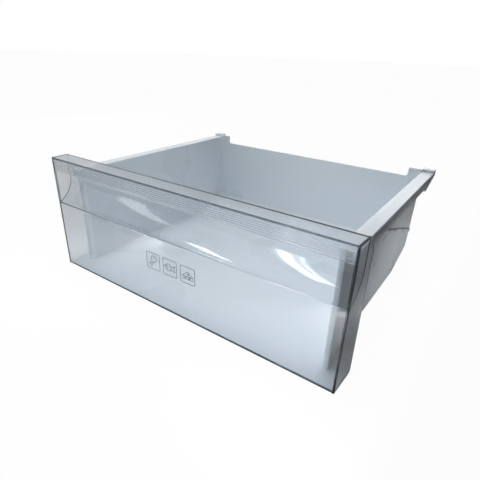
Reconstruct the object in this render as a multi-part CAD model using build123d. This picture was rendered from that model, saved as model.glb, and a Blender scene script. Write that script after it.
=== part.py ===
from build123d import *
import os
from math import acos, degrees, radians, sqrt, tan

# Fridge drawer: an opaque tub, open at the front, and the clear panel that closes its front.
# Millimetres. X runs to the right seen from the front, Y to the rear, Z up.
# The sketches below count Y from the panel's front face; the finished pieces are centred on the overall depth.

# Fit between the two mouldings
seat_gap = 0.3

# Clear front panel
panel_width = 450.0
panel_height = 169.0
panel_wall = 2.5
flange_depth = 26.0
return_depth = 40.0
return_spread = 1.5
return_corner = 4.0
edge_round = 0.8

# Finger scoop and the reeded lip above it
scoop_bottom = 103.0
scoop_radius = 38.0
crease_radius = 4.0
lip_height = 19.0
reed_count = 7
reed_pitch = 2.4
reed_radius = 0.6
reed_depth = 0.45

# Tub shell
side_room = 27.0
tub_wall = 2.5
inner_depth = 360.0
corner_radius = 6.0
flare_radius = 8.0

# Rear of the tub: ramped floor, slightly leaning wall, lowered rim between raised corners
ramp_start = 288.0
ramp_angle = 18.4
ramp_end = 355.0
ramp_round = 60.0
heel_round = 12.0
rim_height = 140.0
post_width = 20.0
post_rise = 3.5
notch_radius = 4.0

# Side rails
rail_rise = 10.0
rail_width = 17.5
rail_wall = 2.5
rail_lip = 13.5
rail_nose = 5.0
rail_overrun = 14.0
rail_round = 1.2

# Wedge-shaped pull-out stop under each rail's rear end, and the raised pad on top
stop_start = 307.0
stop_drop = 6.0
stop_run = 17.0
pad_rise = 4.0
pad_length = 12.0

# Slanted rib on each outer side wall
rib_height = 7.0
rib_proud = 2.0
rib_round = 1.4
rib_start = 175.0
rib_rear_level = 58.5

# Places that follow from the sizes above
half_panel = panel_width / 2
half_inner = half_panel - side_room
half_outer = half_inner + tub_wall
half_rail = half_inner + rail_width
tub_front = flange_depth + seat_gap
flare_rear = tub_front + flare_radius
rear_outer = inner_depth + tub_wall
rail_end = inner_depth + rail_overrun
rail_top = rim_height + rail_rise
post_top = rail_top + post_rise
overall_depth = max(rail_end, rear_outer)


def both_sides(shape):
    return shape + mirror(shape, about=Plane.YZ)


def across(section, half_width):
    return extrude(section, amount=half_width, both=True)


def placed(shape):
    return Pos(0, -overall_depth / 2, 0) * shape


# Side view of the tub's outside, from the front edge round the floor to the rear wall's top
def tub_side_view(front, top):
    ramp_rise = (ramp_end - ramp_start) * tan(radians(ramp_angle))
    bottom_front = (front, 0)
    bottom_rear = (ramp_start, 0)
    ramp_top = (ramp_end, ramp_rise)
    lean = (rear_outer - ramp_end) / (post_top - ramp_rise)
    rear_top = (ramp_end + lean * (top - ramp_rise), top)
    outline = Polyline(bottom_front, bottom_rear, ramp_top, rear_top, (front, top), close=True)
    view = make_face(outline)
    for corner, radius in ((bottom_rear, ramp_round), (ramp_top, heel_round)):
        view = fillet(view.vertices().sort_by_distance(corner)[0], radius)
    return Plane.YZ * view


# Edges that run round the floor and the rear corners of a tub-shaped block
def floor_and_corner_edges(block):
    edges = block.faces().filter_by(Axis.X).edges()
    front_edges = edges.group_by(Axis.Y)[0]
    top_edges = edges.group_by(Axis.Z)[-1]
    return (edges - front_edges - top_edges).sort_by(Axis.Y)


def rounded_block(view, half_width, radius):
    block = across(view, half_width)
    return fillet(floor_and_corner_edges(block), radius)


def tub_shell():
    beyond = 50.0
    outside = rounded_block(tub_side_view(flare_rear, post_top), half_outer, corner_radius)
    inner_view = offset(tub_side_view(flare_rear - beyond, post_top + beyond), amount=-tub_wall)
    inside = rounded_block(inner_view, half_inner, corner_radius - tub_wall)
    shell = outside - inside
    side_tops = Box(panel_width, inner_depth, beyond, align=(Align.CENTER, Align.MIN, Align.MIN))
    shell -= Pos(0, 0, rail_top) * side_tops
    return shell - rear_notch()


# The rear wall's rim is lower between the two raised corners
def rear_notch():
    notch_width = 2 * (half_inner - post_width)
    notch_height = 2 * (post_top - rim_height)
    opening = RectangleRounded(notch_width, notch_height, notch_radius)
    return Pos(0, inner_depth, post_top) * extrude(Plane.XZ * opening, amount=4 * tub_wall, both=True)


# Front edge of a side wall, seen from above: it flares outwards in a quarter round
def wall_flare():
    centre = (half_inner + flare_radius, flare_rear)
    inner_face = CenterArc(centre, flare_radius, 180, 90)
    outer_face = CenterArc(centre, flare_radius - tub_wall, 180, 90)
    wall_end = Line(inner_face @ 0, outer_face @ 0)
    front_edge = Line(inner_face @ 1, outer_face @ 1)
    plan = make_face([inner_face, front_edge, outer_face, wall_end])
    return extrude(plan, amount=rail_top)


# The floor runs forward to the panel's plate and sideways to its returns
def floor_tongue():
    half_width = half_panel - panel_wall - seat_gap
    front = panel_wall + seat_gap
    tongue = Box(2 * half_width, flare_rear - front, tub_wall, align=(Align.CENTER, Align.MIN, Align.MIN))
    return Pos(0, front, 0) * tongue


# Rail: flat top, down-turned lip with the wedge-shaped stop at its rear end, raised pad on top
def rail():
    top = Box(rail_width, rail_end - tub_front, rail_wall, align=(Align.MIN, Align.MIN, Align.MAX))
    top = Pos(half_inner, tub_front, rail_top) * top
    lip_bottom = rail_top - rail_lip
    lip_view = Polyline(
        (tub_front, rail_top),
        (tub_front, lip_bottom),
        (stop_start, lip_bottom),
        (stop_start + stop_run, lip_bottom - stop_drop),
        (rail_end, rail_top - rail_nose),
        (rail_end, rail_top),
        close=True,
    )
    lip = Pos(half_rail - rail_wall, 0, 0) * extrude(Plane.YZ * make_face(lip_view), amount=rail_wall)
    pad = Box(rail_width, pad_length, pad_rise, align=(Align.MIN, Align.MAX, Align.MIN))
    pad = Pos(half_inner, rail_end, rail_top) * pad
    profile = top + lip
    outer_edge = profile.edges().filter_by(Axis.Y).group_by(Axis.X)[-1].sort_by(Axis.Z)[-1]
    return fillet(outer_edge, rail_round) + pad


# Slanted rib on a side wall's outside
def side_rib():
    rib_end = ramp_end - corner_radius
    slope = tan(radians(ramp_angle))
    start_level = rib_rear_level + (rib_end - rib_start) * slope
    rib_view = Polyline(
        (rib_start, start_level),
        (rib_end, rib_rear_level),
        (rib_end, rib_rear_level - rib_height),
        (rib_start, start_level - rib_height),
        close=True,
    )
    rib = extrude(Plane.YZ * make_face(rib_view), amount=rib_proud)
    rib = fillet(rib.faces().sort_by(Axis.X)[-1].edges(), rib_round)
    return Pos(half_outer, 0, 0) * rib


def drawer_tub():
    tub = tub_shell() + floor_tongue()
    return tub + both_sides(wall_flare()) + both_sides(rail()) + both_sides(side_rib())


# Cross-section of the panel: flat plate, finger scoop, rear wall, top flange and reeded lip
def panel_section():
    rear_wall_front = flange_depth - panel_wall
    centre_y = rear_wall_front - scoop_radius
    centre_z = scoop_bottom + sqrt(scoop_radius**2 - centre_y**2)
    outer_radius = scoop_radius + panel_wall
    front_turn = degrees(acos(-centre_y / scoop_radius))
    rear_turn = degrees(acos((panel_wall - centre_y) / outer_radius))
    front_arc = CenterArc((centre_y, centre_z), scoop_radius, -front_turn, front_turn)
    rear_arc = CenterArc((centre_y, centre_z), outer_radius, -rear_turn, rear_turn)
    under_flange = panel_height - panel_wall
    lip_bottom = panel_height - lip_height
    plate_front = Line((0, 0), front_arc @ 0)
    upper = Polyline(
        front_arc @ 1,
        (rear_wall_front, under_flange),
        (panel_wall, under_flange),
        (panel_wall, lip_bottom),
        (0, lip_bottom),
        (0, panel_height),
        (flange_depth, panel_height),
        rear_arc @ 1,
    )
    plate_rear = Polyline(rear_arc @ 0, (panel_wall, 0), (0, 0))
    section = make_face([plate_front, front_arc, upper, rear_arc, plate_rear])
    crease = section.vertices().sort_by_distance((0, scoop_bottom))[0]
    section = fillet(crease, crease_radius)
    lip_corners = [(0, lip_bottom), (panel_wall, lip_bottom)]
    flange_corners = [(0, panel_height), (flange_depth, panel_height)]
    for corner in lip_corners + flange_corners + [(0, 0)]:
        section = fillet(section.vertices().sort_by_distance(corner)[0], edge_round)
    reed_middle = panel_height - lip_height / 2
    middle = Pos(reed_depth - reed_radius, reed_middle)
    reeds = [middle * place * Circle(reed_radius) for place in GridLocations(1, reed_pitch, 1, reed_count)]
    return Plane.YZ * (section - reeds)


# End return: a tall side wall that spreads outwards to the rear and closes the scoop's end
def end_return():
    outer_front = (half_panel, 0)
    inner_front = (half_panel - panel_wall, 0)
    outer_rear = (outer_front[0] + return_spread, return_depth)
    inner_rear = (inner_front[0] + return_spread, return_depth)
    plan = make_face(Polyline(outer_front, outer_rear, inner_rear, inner_front, close=True))
    bottom_rear = (return_depth, 0)
    slope_bottom = (return_depth, rail_top)
    slope_top = (flange_depth, panel_height)
    outline = Polyline((0, 0), bottom_rear, slope_bottom, slope_top, (0, panel_height), close=True)
    side_view = make_face(outline)
    for corner in (bottom_rear, slope_bottom):
        side_view = fillet(side_view.vertices().sort_by_distance(corner)[0], return_corner)
    wall = extrude(plan, amount=panel_height) & across(Plane.YZ * side_view, panel_width)
    front_edge = wall.edges().filter_by(Axis.Z).sort_by_distance((half_panel, 0, panel_height / 2))[0]
    return fillet(front_edge, edge_round)


def front_panel():
    body = across(panel_section(), half_panel - panel_wall / 2)
    return body + both_sides(end_return())


os.makedirs("parts", exist_ok=True)
export_step(placed(drawer_tub()), "parts/drawer_tub.step")
export_step(placed(front_panel()), "parts/front_panel.step")
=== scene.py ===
from math import cos, pi, radians, sin

import bmesh
import bpy
from mathutils import Matrix, Quaternion, Vector


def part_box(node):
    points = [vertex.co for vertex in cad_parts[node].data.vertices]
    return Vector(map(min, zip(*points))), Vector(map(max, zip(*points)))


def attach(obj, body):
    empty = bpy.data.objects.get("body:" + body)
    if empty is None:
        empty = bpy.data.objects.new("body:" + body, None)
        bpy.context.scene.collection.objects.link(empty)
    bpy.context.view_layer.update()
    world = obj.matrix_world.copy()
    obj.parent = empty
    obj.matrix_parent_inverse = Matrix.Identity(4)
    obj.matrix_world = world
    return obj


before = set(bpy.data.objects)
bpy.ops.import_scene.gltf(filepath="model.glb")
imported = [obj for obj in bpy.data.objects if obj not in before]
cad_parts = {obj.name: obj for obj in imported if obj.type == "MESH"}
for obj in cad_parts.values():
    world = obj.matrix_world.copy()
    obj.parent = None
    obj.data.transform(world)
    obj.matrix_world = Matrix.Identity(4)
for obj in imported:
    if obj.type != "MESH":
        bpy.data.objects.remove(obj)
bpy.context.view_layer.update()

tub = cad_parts["drawer_tub"]
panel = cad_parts["front_panel"]
panelLow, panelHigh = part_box("front_panel")
returnSpread = 0.0015  # how far each end return leans out past the front face
panelFront = Vector((panelHigh.x - returnSpread, panelLow.y, panelHigh.z))  # corner of the front face
print("frame loaded:", sorted(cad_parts))


# camera where the photograph was taken from
photoCamera = {
    "lens": 29.58,
    "sensor": 36.0,
    "nearest": 0.01,
    "place": (0.3083, -0.4883, 0.3136),
    "heading": -34.300,  # degrees from +Y towards +X
    "pitch": -25.712,
    "roll": 1.943,
}


def placeCamera(setting):
    heading = radians(setting["heading"])
    pitch = radians(setting["pitch"])
    roll = radians(setting["roll"])
    forward = Vector((sin(heading) * cos(pitch), cos(heading) * cos(pitch), sin(pitch)))
    right = forward.cross(Vector((0, 0, 1))).normalized()
    up = right.cross(forward)
    right, up = cos(roll) * right + sin(roll) * up, cos(roll) * up - sin(roll) * right
    stand = Matrix((right, up, -forward)).transposed().to_4x4()
    stand.translation = setting["place"]
    lensData = bpy.data.cameras.new("photoCamera")
    lensData.lens = setting["lens"]
    lensData.sensor_width = setting["sensor"]
    lensData.clip_start = setting["nearest"]
    camera = bpy.data.objects.new("photoCamera", lensData)
    camera.matrix_world = stand
    bpy.context.scene.collection.objects.link(camera)
    bpy.context.scene.camera = camera


placeCamera(photoCamera)
print("camera placed")


# node helpers
def addNode(tree, kind, x=0, y=0, **values):
    node = tree.nodes.new(kind)
    node.location = (x, y)
    for name, value in values.items():
        setattr(node, name, value)
    return node


def mathNode(tree, operation, a, b, x=0, y=0):
    node = addNode(tree, "ShaderNodeMath", x, y, operation=operation)
    for socket, value in zip(node.inputs, (a, b)):
        if isinstance(value, (int, float)):
            socket.default_value = value
        else:
            tree.links.new(value, socket)
    return node.outputs[0]


def rangeNode(tree, source, fromMin, fromMax, toMin, toMax, x=0, y=0):
    node = addNode(tree, "ShaderNodeMapRange", x, y)
    tree.links.new(source, node.inputs["Value"])
    for name, value in (("From Min", fromMin), ("From Max", fromMax), ("To Min", toMin), ("To Max", toMax)):
        node.inputs[name].default_value = value
    return node.outputs["Result"]


# blend of two colours, each a constant or a socket
def colourMix(tree, factor, first, second, x=0, y=0):
    node = addNode(tree, "ShaderNodeMix", x, y, data_type="RGBA")
    tree.links.new(factor, node.inputs["Factor"])
    for socket, value in ((node.inputs[6], first), (node.inputs[7], second)):
        if isinstance(value, tuple):
            socket.default_value = value
        else:
            tree.links.new(value, socket)
    return node.outputs[2]


def positionNodes(tree, output, x, y):
    place = addNode(tree, "ShaderNodeTexCoord", x, y)
    split = addNode(tree, "ShaderNodeSeparateXYZ", x + 200, y)
    tree.links.new(place.outputs[output], split.inputs["Vector"])
    return split.outputs


def newGroup(name, inputs, output):
    group = bpy.data.node_groups.new(name, "ShaderNodeTree")
    for title, value in inputs.items():
        group.interface.new_socket(title, in_out="INPUT", socket_type="NodeSocketFloat").default_value = value
    group.interface.new_socket(output, in_out="OUTPUT", socket_type="NodeSocketFloat")
    return group


# fine moulded grain plus the slow waviness of a large thin moulding
def buildMouldGrain():
    inputs = {"Grain Scale": 900.0, "Wave Scale": 18.0, "Grain Share": 0.3}
    group = newGroup("mouldGrain", inputs, "Height")
    given = addNode(group, "NodeGroupInput", -700, 0)
    place = addNode(group, "ShaderNodeTexCoord", -700, -200)
    fine = addNode(group, "ShaderNodeTexNoise", -400, 100)
    fine.inputs["Detail"].default_value = 2.0
    wave = addNode(group, "ShaderNodeTexNoise", -400, -150)
    wave.inputs["Detail"].default_value = 1.0
    for node, name in ((fine, "Grain Scale"), (wave, "Wave Scale")):
        group.links.new(place.outputs["Object"], node.inputs["Vector"])
        group.links.new(given.outputs[name], node.inputs["Scale"])
    fineHeight = mathNode(group, "MULTIPLY", fine.outputs["Fac"], given.outputs["Grain Share"], -150, 100)
    height = mathNode(group, "ADD", fineHeight, wave.outputs["Fac"], 50, 0)
    shown = addNode(group, "NodeGroupOutput", 250, 0)
    group.links.new(height, shown.inputs["Height"])
    return group


# wiping smears and short hairline scratches from use, 0 clean to 1 marked
markShape = {
    "smearRange": (0.30, 0.80),  # noise that is clean, noise that is fully marked
    "scratchRange": (0.72, 0.78),
    "scratchTurn": (0.4, 0.5, 0.3),
    "scratchStretch": (1.0, 6.0, 14.0),
}


def buildUseMarks(shape):
    inputs = {"Smear Scale": 9.0, "Scratch Scale": 60.0, "Scratch Share": 0.4}
    group = newGroup("useMarks", inputs, "Marks")
    given = addNode(group, "NodeGroupInput", -900, 0)
    place = addNode(group, "ShaderNodeTexCoord", -900, -250)
    smear = addNode(group, "ShaderNodeTexNoise", -500, 150)
    smear.inputs["Detail"].default_value = 2.0
    group.links.new(place.outputs["Object"], smear.inputs["Vector"])
    group.links.new(given.outputs["Smear Scale"], smear.inputs["Scale"])
    smearMask = rangeNode(group, smear.outputs["Fac"], *shape["smearRange"], 0.0, 1.0, -250, 150)
    stretch = addNode(group, "ShaderNodeMapping", -700, -250)
    stretch.inputs["Rotation"].default_value = shape["scratchTurn"]
    stretch.inputs["Scale"].default_value = shape["scratchStretch"]
    group.links.new(place.outputs["Object"], stretch.inputs["Vector"])
    scratch = addNode(group, "ShaderNodeTexNoise", -500, -250)
    scratch.inputs["Detail"].default_value = 1.0
    group.links.new(stretch.outputs["Vector"], scratch.inputs["Vector"])
    group.links.new(given.outputs["Scratch Scale"], scratch.inputs["Scale"])
    scratchMask = rangeNode(group, scratch.outputs["Fac"], *shape["scratchRange"], 0.0, 1.0, -250, -250)
    scratchMask = mathNode(group, "MULTIPLY", scratchMask, given.outputs["Scratch Share"], -50, -250)
    marks = mathNode(group, "MAXIMUM", smearMask, scratchMask, 150, 0)
    shown = addNode(group, "NodeGroupOutput", 350, 0)
    group.links.new(marks, shown.inputs["Marks"])
    return group


mouldGrain = buildMouldGrain()
useMarks = buildUseMarks(markShape)


def newMaterial(name):
    material = bpy.data.materials.new(name)
    material.use_nodes = True
    tree = material.node_tree
    tree.nodes.clear()
    surface = addNode(tree, "ShaderNodeBsdfPrincipled", 400, 0)
    output = addNode(tree, "ShaderNodeOutputMaterial", 900, 0)
    tree.links.new(surface.outputs["BSDF"], output.inputs["Surface"])
    return material, tree, surface, output


def placeGroup(tree, group, x, y, values):
    node = addNode(tree, "ShaderNodeGroup", x, y, node_tree=group)
    for name, value in values.items():
        node.inputs[name].default_value = value
    return node


def addBump(tree, surface, height, strength, distance, x, y):
    bump = addNode(tree, "ShaderNodeBump", x, y)
    bump.inputs["Strength"].default_value = strength
    bump.inputs["Distance"].default_value = distance
    tree.links.new(height, bump.inputs["Height"])
    tree.links.new(bump.outputs["Normal"], surface.inputs["Normal"])


def addRoughness(tree, surface, marks, clean, marked):
    rough = rangeNode(tree, marks.outputs["Marks"], 0.0, 1.0, clean, marked, 0, -50)
    tree.links.new(rough, surface.inputs["Roughness"])


# blue-grey tub of slightly translucent plastic
tubFinish = {
    "colour": (0.66, 0.715, 0.76, 1.0),
    "markedColour": (0.675, 0.73, 0.775, 1.0),
    "ior": 1.5,
    "glow": 0.0015,  # how far light spreads in the plastic
    "roughness": (0.26, 0.31),  # clean, marked
    "grain": {"Grain Scale": 420.0, "Wave Scale": 14.0, "Grain Share": 0.10},
    "marks": {"Smear Scale": 7.0, "Scratch Scale": 45.0, "Scratch Share": 0.35},
    "bump": (0.12, 0.0006),  # strength, distance
}


def buildTubPlastic(finish):
    material, tree, surface, _ = newMaterial("tubPlastic")
    marks = placeGroup(tree, useMarks, -400, 100, finish["marks"])
    tone = colourMix(tree, marks.outputs["Marks"], finish["colour"], finish["markedColour"], 0, 200)
    tree.links.new(tone, surface.inputs["Base Color"])
    addRoughness(tree, surface, marks, *finish["roughness"])
    surface.inputs["IOR"].default_value = finish["ior"]
    surface.inputs["Subsurface Weight"].default_value = 1.0
    surface.inputs["Subsurface Radius"].default_value = (1.0, 1.0, 1.0)
    surface.inputs["Subsurface Scale"].default_value = finish["glow"]
    grain = placeGroup(tree, mouldGrain, -400, -300, finish["grain"])
    addBump(tree, surface, grain.outputs["Height"], *finish["bump"], 0, -300)
    return material


# clear panel with a faint smoky tint, and painted dark shade along its front's outline
panelFinish = {
    "colour": (0.96, 0.975, 0.99, 1.0),
    # painted shade: a dark base colour along the front's edges stands in for their dark refraction and
    # contact shadow
    "paintedEdgeShade": (0.16, 0.19, 0.23, 1.0),
    "rim": 0.0026,  # how far the painted edge shade reaches in from the front's outline
    "rimFade": 0.4,  # share of the rim over which the painted shade fades out
    "roughness": (0.015, 0.10),  # clean, marked
    "ior": 1.57,
    "tint": (0.52, 0.60, 0.67, 1.0),
    "tintDensity": 90.0,  # per metre
    "grain": {"Grain Scale": 300.0, "Wave Scale": 11.0, "Grain Share": 0.0},
    "marks": {"Smear Scale": 6.0, "Scratch Scale": 38.0, "Scratch Share": 0.5},
    "bump": (0.10, 0.0008),  # strength, distance
}


# painted edge shade: 1 along the front's outline, fading to 0 a rim's width inside it
def addPaintedEdgeShadeMask(tree, low, high, rim, fade):
    solid = (1 - fade) * rim
    split = positionNodes(tree, "Object", -1100, 500)
    aside = mathNode(tree, "ABSOLUTE", split["X"], 0.0, -700, 600)
    sides = rangeNode(tree, aside, high.x - rim, high.x - solid, 0.0, 1.0, -500, 600)
    bottom = rangeNode(tree, split["Z"], low.z + solid, low.z + rim, 1.0, 0.0, -500, 400)
    front = rangeNode(tree, split["Y"], low.y + rim, low.y + (1 + fade) * rim, 1.0, 0.0, -500, 200)
    outline = mathNode(tree, "MAXIMUM", sides, bottom, -250, 500)
    return mathNode(tree, "MULTIPLY", outline, front, -50, 400)


def buildClearPlastic(finish):
    material, tree, surface, output = newMaterial("clearPlastic")
    paintedEdgeShadeMask = addPaintedEdgeShadeMask(tree, panelLow, panelFront, finish["rim"], finish["rimFade"])
    # painted shade: the base colour turns dark along the front's outline
    tone = colourMix(tree, paintedEdgeShadeMask, finish["colour"], finish["paintedEdgeShade"], 150, 350)
    tree.links.new(tone, surface.inputs["Base Color"])
    surface.inputs["Transmission Weight"].default_value = 1.0
    surface.inputs["IOR"].default_value = finish["ior"]
    marks = placeGroup(tree, useMarks, -400, 100, finish["marks"])
    addRoughness(tree, surface, marks, *finish["roughness"])
    grain = placeGroup(tree, mouldGrain, -400, -300, finish["grain"])
    addBump(tree, surface, grain.outputs["Height"], *finish["bump"], 0, -300)
    # lamps shine through the panel and pick up its tint
    path = addNode(tree, "ShaderNodeLightPath", 400, 450)
    through = addNode(tree, "ShaderNodeBsdfTransparent", 400, -450)
    mix = addNode(tree, "ShaderNodeMixShader", 700, 100)
    tree.links.new(path.outputs["Is Shadow Ray"], mix.inputs["Fac"])
    tree.links.new(surface.outputs["BSDF"], mix.inputs[1])
    tree.links.new(through.outputs["BSDF"], mix.inputs[2])
    tree.links.new(mix.outputs["Shader"], output.inputs["Surface"])
    tint = addNode(tree, "ShaderNodeVolumeAbsorption", 700, -250)
    tint.inputs["Color"].default_value = finish["tint"]
    tint.inputs["Density"].default_value = finish["tintDensity"]
    tree.links.new(tint.outputs["Volume"], output.inputs["Volume"])
    return material


def dress(piece, material):
    piece.data.materials.clear()
    piece.data.materials.append(material)


dress(tub, buildTubPlastic(tubFinish))
dress(panel, buildClearPlastic(panelFinish))
print("finishes on the tub and the panel")


# three printed food symbols on the panel's plate
symbolPrint = {
    "side": 0.0228,
    "corner": 0.0024,
    "line": 0.00072,
    "thick": 0.00006,
    "height": 0.068,
    "across": (-0.0298, -0.0009, 0.0283),
    "colour": (0.020, 0.026, 0.033, 1.0),
    "speckle": 1.8,  # how much paler the ink gets in its speckles
    "speckleScale": 1800.0,
    "roughness": 0.5,
}


def roundedSquare(side, corner, steps=6):
    half = side / 2 - corner
    points = []
    for quarter, (x, z) in enumerate(((half, half), (-half, half), (-half, -half), (half, -half))):
        for step in range(steps + 1):
            angle = (quarter + step / steps) * pi / 2
            points.append((x + corner * cos(angle), z + corner * sin(angle)))
    return points


def smoothLine(points, closed, steps=8):
    count = len(points)
    line = []
    for index in range(count if closed else count - 1):
        p0, p1, p2, p3 = (
            Vector(points[(index + k) % count] if closed else points[min(max(index + k, 0), count - 1)])
            for k in (-1, 0, 1, 2)
        )
        for step in range(steps):
            t = step / steps
            line.append(0.5 * (2 * p1 + (p2 - p0) * t + (2 * p0 - 5 * p1 + 4 * p2 - p3) * t**2
                               + (3 * p1 - p0 - 3 * p2 + p3) * t**3))
    if not closed:
        line.append(Vector(points[-1]))
    return [(p.x, p.y) for p in line]


def ring(x, z, radius, steps=14):
    turns = [2 * pi * step / steps for step in range(steps)]
    return [(x + radius * cos(turn), z + radius * sin(turn)) for turn in turns]


# one printed line: a thin flat ribbon that sits on the plate's front
def addStroke(mesh, points, closed, width, thick, middle, front):
    count = len(points)
    rows = []
    for index, point in enumerate(points):
        here = Vector(point)
        before = Vector(points[index - 1]) if closed or index else here
        after = Vector(points[(index + 1) % count]) if closed or index < count - 1 else here
        along = (after - before).normalized()
        side = Vector((-along.y, along.x)) * width / 2
        row = []
        for edge in (here + side, here - side):
            for depth in (0.0, thick):
                row.append(mesh.verts.new((middle[0] + edge.x, front - depth, middle[1] + edge.y)))
        rows.append(row)
    pairs = list(zip(rows, rows[1:])) + ([(rows[-1], rows[0])] if closed else [])
    for a, b in pairs:
        for i, j in ((0, 1), (1, 3), (3, 2), (2, 0)):
            mesh.faces.new((a[i], a[j], b[j], b[i]))
    if not closed:
        for end in (rows[0], rows[-1]):
            mesh.faces.new((end[0], end[1], end[3], end[2]))


def openCurve(*points):
    return smoothLine(points, False), False


def closedCurve(*points):
    return smoothLine(points, True), True


# each symbol's lines, in millimetres from its middle, with whether a line is closed
mm = 0.001
symbolLines = {
    "symbol_drumstick": [
        openCurve((1.2, -1.6), (4.6, 0.4), (6.2, 4.4), (3.8, 7.6), (-0.8, 7.2), (-3.4, 3.6), (-2.4, -0.6)),
        openCurve((1.2, -1.6), (-0.2, -2.2), (-2.4, -0.6)),
        ([(0.2, -2.2), (-2.4, -5.2)], False),
        ([(-1.9, -1.2), (-4.4, -3.9)], False),
        openCurve(
            (-2.4, -5.2), (-2.4, -7.4), (-4.6, -7.4), (-5.0, -5.8), (-6.6, -5.2), (-6.2, -3.3), (-4.4, -3.9)
        ),
        openCurve((0.6, 5.6), (2.9, 5.2), (3.9, 3.2)),
    ],
    "symbol_fish": [
        closedCurve(
            (-8.8, 0.4), (-5.4, 3.9), (-0.6, 4.8), (4.2, 1.8), (8.4, 4.4),
            (7.2, 0.2), (8.4, -4.2), (4.2, -1.7), (-0.6, -4.6), (-5.4, -3.4),
        ),
        openCurve((-4.4, 3.1), (-3.2, 0), (-4.4, -2.9)),
        (ring(-6.2, 1.0, 0.6), True),
        openCurve((-1.2, 1.4), (1.0, 1.7), (2.9, 1.0)),
        openCurve((-1.2, -1.2), (1.0, -1.5), (2.9, -0.8)),
    ],
    "symbol_cheese": [
        ([(-8.4, -2.0), (0.2, 5.2), (8.4, -1.2), (8.4, -5.4), (-8.4, -5.4)], True),
        ([(-8.4, -2.0), (8.4, -1.2)], False),
        (ring(-3.4, -3.7, 0.9), True),
        (ring(3.2, -3.4, 1.2), True),
        (ring(0.8, 1.6, 1.1), True),
    ],
}


def buildInk(setting):
    material, tree, surface, _ = newMaterial("symbolInk")
    place = addNode(tree, "ShaderNodeTexCoord", -650, 0)
    speckle = addNode(tree, "ShaderNodeTexNoise", -400, 0)
    speckle.inputs["Scale"].default_value = setting["speckleScale"]
    tree.links.new(place.outputs["Object"], speckle.inputs["Vector"])
    pale = tuple(share * setting["speckle"] for share in setting["colour"][:3]) + (1.0,)
    tone = colourMix(tree, speckle.outputs["Fac"], setting["colour"], pale, 0, 100)
    tree.links.new(tone, surface.inputs["Base Color"])
    surface.inputs["Roughness"].default_value = setting["roughness"]
    return material


def printSymbols(setting):
    ink = buildInk(setting)
    front = panelLow.y
    for (name, lines), across in zip(symbolLines.items(), setting["across"]):
        middle = (across, setting["height"])
        mesh = bmesh.new()
        frameLine = roundedSquare(setting["side"], setting["corner"])
        addStroke(mesh, frameLine, True, setting["line"], setting["thick"], middle, front)
        for points, closed in lines:
            points = [(x * mm, z * mm) for x, z in points]
            addStroke(mesh, points, closed, setting["line"], setting["thick"], middle, front)
        bmesh.ops.recalc_face_normals(mesh, faces=mesh.faces)
        data = bpy.data.meshes.new(name)
        mesh.to_mesh(data)
        mesh.free()
        symbol = bpy.data.objects.new(name, data)
        bpy.context.scene.collection.objects.link(symbol)
        data.materials.append(ink)
        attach(symbol, "root")


printSymbols(symbolPrint)
print("symbols printed:", len(symbolLines))


# pale studio
studio = {
    "floorSize": 40.0,
    "floorDrop": 0.0002,
    "floorRoughness": 0.9,
    "backdrop": (1.0, 1.0, 1.0, 1.0),
    "backdropShare": 0.97,  # how much of the floor's shading the backdrop hides
    "floorFront": (0.92, 0.92, 0.92, 1.0),
    "floorRear": (0.62, 0.62, 0.62, 1.0),
    "floorTurn": (-0.25, -0.10),  # where along Y the painted light of the table in front gives way to the darker rear tone
    "floorPaintedShadow": (0.04, 0.04, 0.04, 1.0),
    "paintedShadowRange": (0.268, 0.30),  # painted shadow: the floor turns dark to the right of the drawer
    "skyTop": (0.34, 0.34, 0.34, 1.0),
    "skySide": (0.12, 0.12, 0.12, 1.0),
    "skyRear": (0.70, 0.70, 0.70, 1.0),
    "skyLeft": (0.75, 0.75, 0.75, 1.0),
    "skyRight": (0.02, 0.02, 0.02, 1.0),
    "skyRise": (0.05, 0.8),  # heights between which the sides turn into the top
    "rearRange": (0.30, 0.75),  # directions between which each side's tone sets in
    "leftRange": (-0.25, -0.60),
    "rightRange": (0.0, 0.30),
    "lamps": [
        # name, place, aim, width, height, turn, watts, seen in mirror images
        ("topBox", (-0.13, 0.12, 1.50), (-0.13, 0.0, 0.1), 0.7, 0.7, 0.0, 11.5, False),
        ("innerBox", (0.185, -0.10, 0.30), (-0.3, -0.10, 0.24), 0.20, 0.24, 0.0, 0.36, False),
        ("rightFlareBox", (0.185, -0.33, 0.06), (0.205, -0.16, 0.06), 0.06, 0.12, 0.0, 0.20, False),
        ("leftFlareBox", (-0.185, -0.33, 0.06), (-0.205, -0.16, 0.06), 0.06, 0.12, 0.0, 0.14, False),
        ("leftBox", (-1.50, 0.45, 0.45), (-0.1, 0.05, 0.08), 1.2, 0.7, 0.0, 6.0, False),
        ("tableBox", (0.28, 0.06, 0.010), (0.20, 0.06, 0.085), 0.20, 0.03, 0.0, 0.06, False),
        ("swooshStrip", (-1.17, -1.19, 0.40), (-0.09, -0.17, 0.11), 0.14, 1.0, 0.0, 0.8, True),
        ("railGloss", (-0.14, 1.89, 0.76), (0.21, 0.02, 0.15), 0.30, 0.16, 0.0, 0.5, True),
        ("streakStrip", (-0.76, -0.39, 1.34), (0.07, -0.18, 0.11), 0.42, 0.10, -51.0, 1.1, True),
        ("tallStrip", (-0.51, -1.64, 0.78), (0.15, -0.18, 0.125), 0.085, 1.5, 0.0, 3.6, True),
        ("slimStrip", (-0.42, -1.67, 0.78), (0.17, -0.18, 0.125), 0.035, 1.5, 0.0, 1.2, True),
    ],
}
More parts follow.
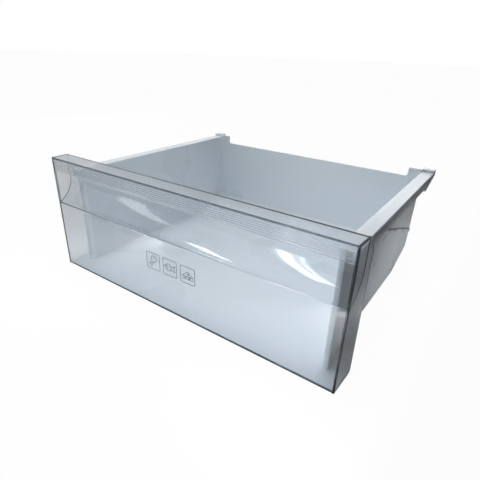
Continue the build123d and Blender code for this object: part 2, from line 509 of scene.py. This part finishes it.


# white where it is looked at directly; for what the drawer mirrors and what bounces off the floor, a table
# painted lighter in front, darker behind and into shadow to the right
def buildFloorFinish(setting):
    material, tree, surface, output = newMaterial("paleFloor")
    surface.inputs["Roughness"].default_value = setting["floorRoughness"]
    path = addNode(tree, "ShaderNodeLightPath", -600, 300)
    split = positionNodes(tree, "Object", -600, 0)
    # painted shadow on the floor to the right of the drawer, left out of transmission rays
    fade = rangeNode(tree, split["X"], *setting["paintedShadowRange"], 0.0, 1.0, -200, 0)
    mirrored = mathNode(tree, "SUBTRACT", 1.0, path.outputs["Is Transmission Ray"], -200, 200)
    fade = mathNode(tree, "MULTIPLY", fade, mirrored, 0, 100)
    # painted light: the table is lighter in front of the drawer than behind it
    behind = rangeNode(tree, split["Y"], *setting["floorTurn"], 0.0, 1.0, -200, -250)
    lit = colourMix(tree, behind, setting["floorFront"], setting["floorRear"], 0, -150)
    tone = colourMix(tree, fade, lit, setting["floorPaintedShadow"], 200, 100)
    tree.links.new(tone, surface.inputs["Base Color"])
    white = addNode(tree, "ShaderNodeEmission", 400, -400)
    white.inputs["Color"].default_value = setting["backdrop"]
    share = mathNode(tree, "MULTIPLY", path.outputs["Is Camera Ray"], setting["backdropShare"], 400, 250)
    look = addNode(tree, "ShaderNodeMixShader", 700, 100)
    tree.links.new(share, look.inputs["Fac"])
    tree.links.new(surface.outputs["BSDF"], look.inputs[1])
    tree.links.new(white.outputs["Emission"], look.inputs[2])
    tree.links.new(look.outputs["Shader"], output.inputs["Surface"])
    return material


def buildFloor(setting):
    half = setting["floorSize"] / 2
    corners = [(-half, -half, 0), (half, -half, 0), (half, half, 0), (-half, half, 0)]
    data = bpy.data.meshes.new("paleFloor")
    data.from_pydata(corners, [], [(0, 1, 2, 3)])
    floor = bpy.data.objects.new("paleFloor", data)
    floor.location.z = -setting["floorDrop"]
    bpy.context.scene.collection.objects.link(floor)
    data.materials.append(buildFloorFinish(setting))


# plain white to the camera, and a soft box of pale and dark sides for everything else
def buildSky(setting):
    world = bpy.data.worlds.new("paleStudio")
    world.use_nodes = True
    tree = world.node_tree
    tree.nodes.clear()
    split = positionNodes(tree, "Generated", -600, 0)
    ramp = addNode(tree, "ShaderNodeValToRGB", -200, 0)
    tones = (setting["skySide"], setting["skyTop"])
    for stop, height, tone in zip(ramp.color_ramp.elements, setting["skyRise"], tones):
        stop.position = height
        stop.color = tone
    tree.links.new(split["Z"], ramp.inputs["Fac"])
    tone = ramp.outputs["Color"]
    sides = (("Y", "rearRange", "skyRear"), ("X", "leftRange", "skyLeft"), ("X", "rightRange", "skyRight"))
    for step, (axis, span, colour) in enumerate(sides):
        share = rangeNode(tree, split[axis], *setting[span], 0.0, 1.0, -200, 250 + 200 * step)
        tone = colourMix(tree, share, tone, setting[colour], 200 * step, 150)
    sky = addNode(tree, "ShaderNodeBackground", 600, 0)
    tree.links.new(tone, sky.inputs["Color"])
    backdrop = addNode(tree, "ShaderNodeBackground", 600, -200)
    backdrop.inputs["Color"].default_value = setting["backdrop"]
    path = addNode(tree, "ShaderNodeLightPath", 600, 350)
    mix = addNode(tree, "ShaderNodeMixShader", 800, 0)
    output = addNode(tree, "ShaderNodeOutputWorld", 1000, 0)
    tree.links.new(path.outputs["Is Camera Ray"], mix.inputs["Fac"])
    tree.links.new(sky.outputs["Background"], mix.inputs[1])
    tree.links.new(backdrop.outputs["Background"], mix.inputs[2])
    tree.links.new(mix.outputs["Shader"], output.inputs["Surface"])
    bpy.context.scene.world = world


# a lamp gives either plain light or only its mirror image
def placeLamp(name, place, aim, width, height, turn, watts, mirrored):
    light = bpy.data.lights.new(name, "AREA")
    light.shape = "RECTANGLE"
    light.size = width
    light.size_y = height
    light.energy = watts
    lamp = bpy.data.objects.new(name, light)
    lamp.location = place
    lamp.rotation_mode = "QUATERNION"
    facing = (Vector(aim) - Vector(place)).to_track_quat("-Z", "Y")
    lamp.rotation_quaternion = facing @ Quaternion((0, 0, 1), radians(turn))
    lamp.visible_camera = False
    lamp.visible_glossy = mirrored
    lamp.visible_transmission = mirrored
    lamp.visible_diffuse = not mirrored
    bpy.context.scene.collection.objects.link(lamp)


def buildStudio(setting):
    buildFloor(setting)
    buildSky(setting)
    for lamp in setting["lamps"]:
        placeLamp(*lamp)


buildStudio(studio)
bpy.context.scene.view_settings.view_transform = "Standard"
bpy.context.scene.cycles.use_denoising = True
print("studio lit")
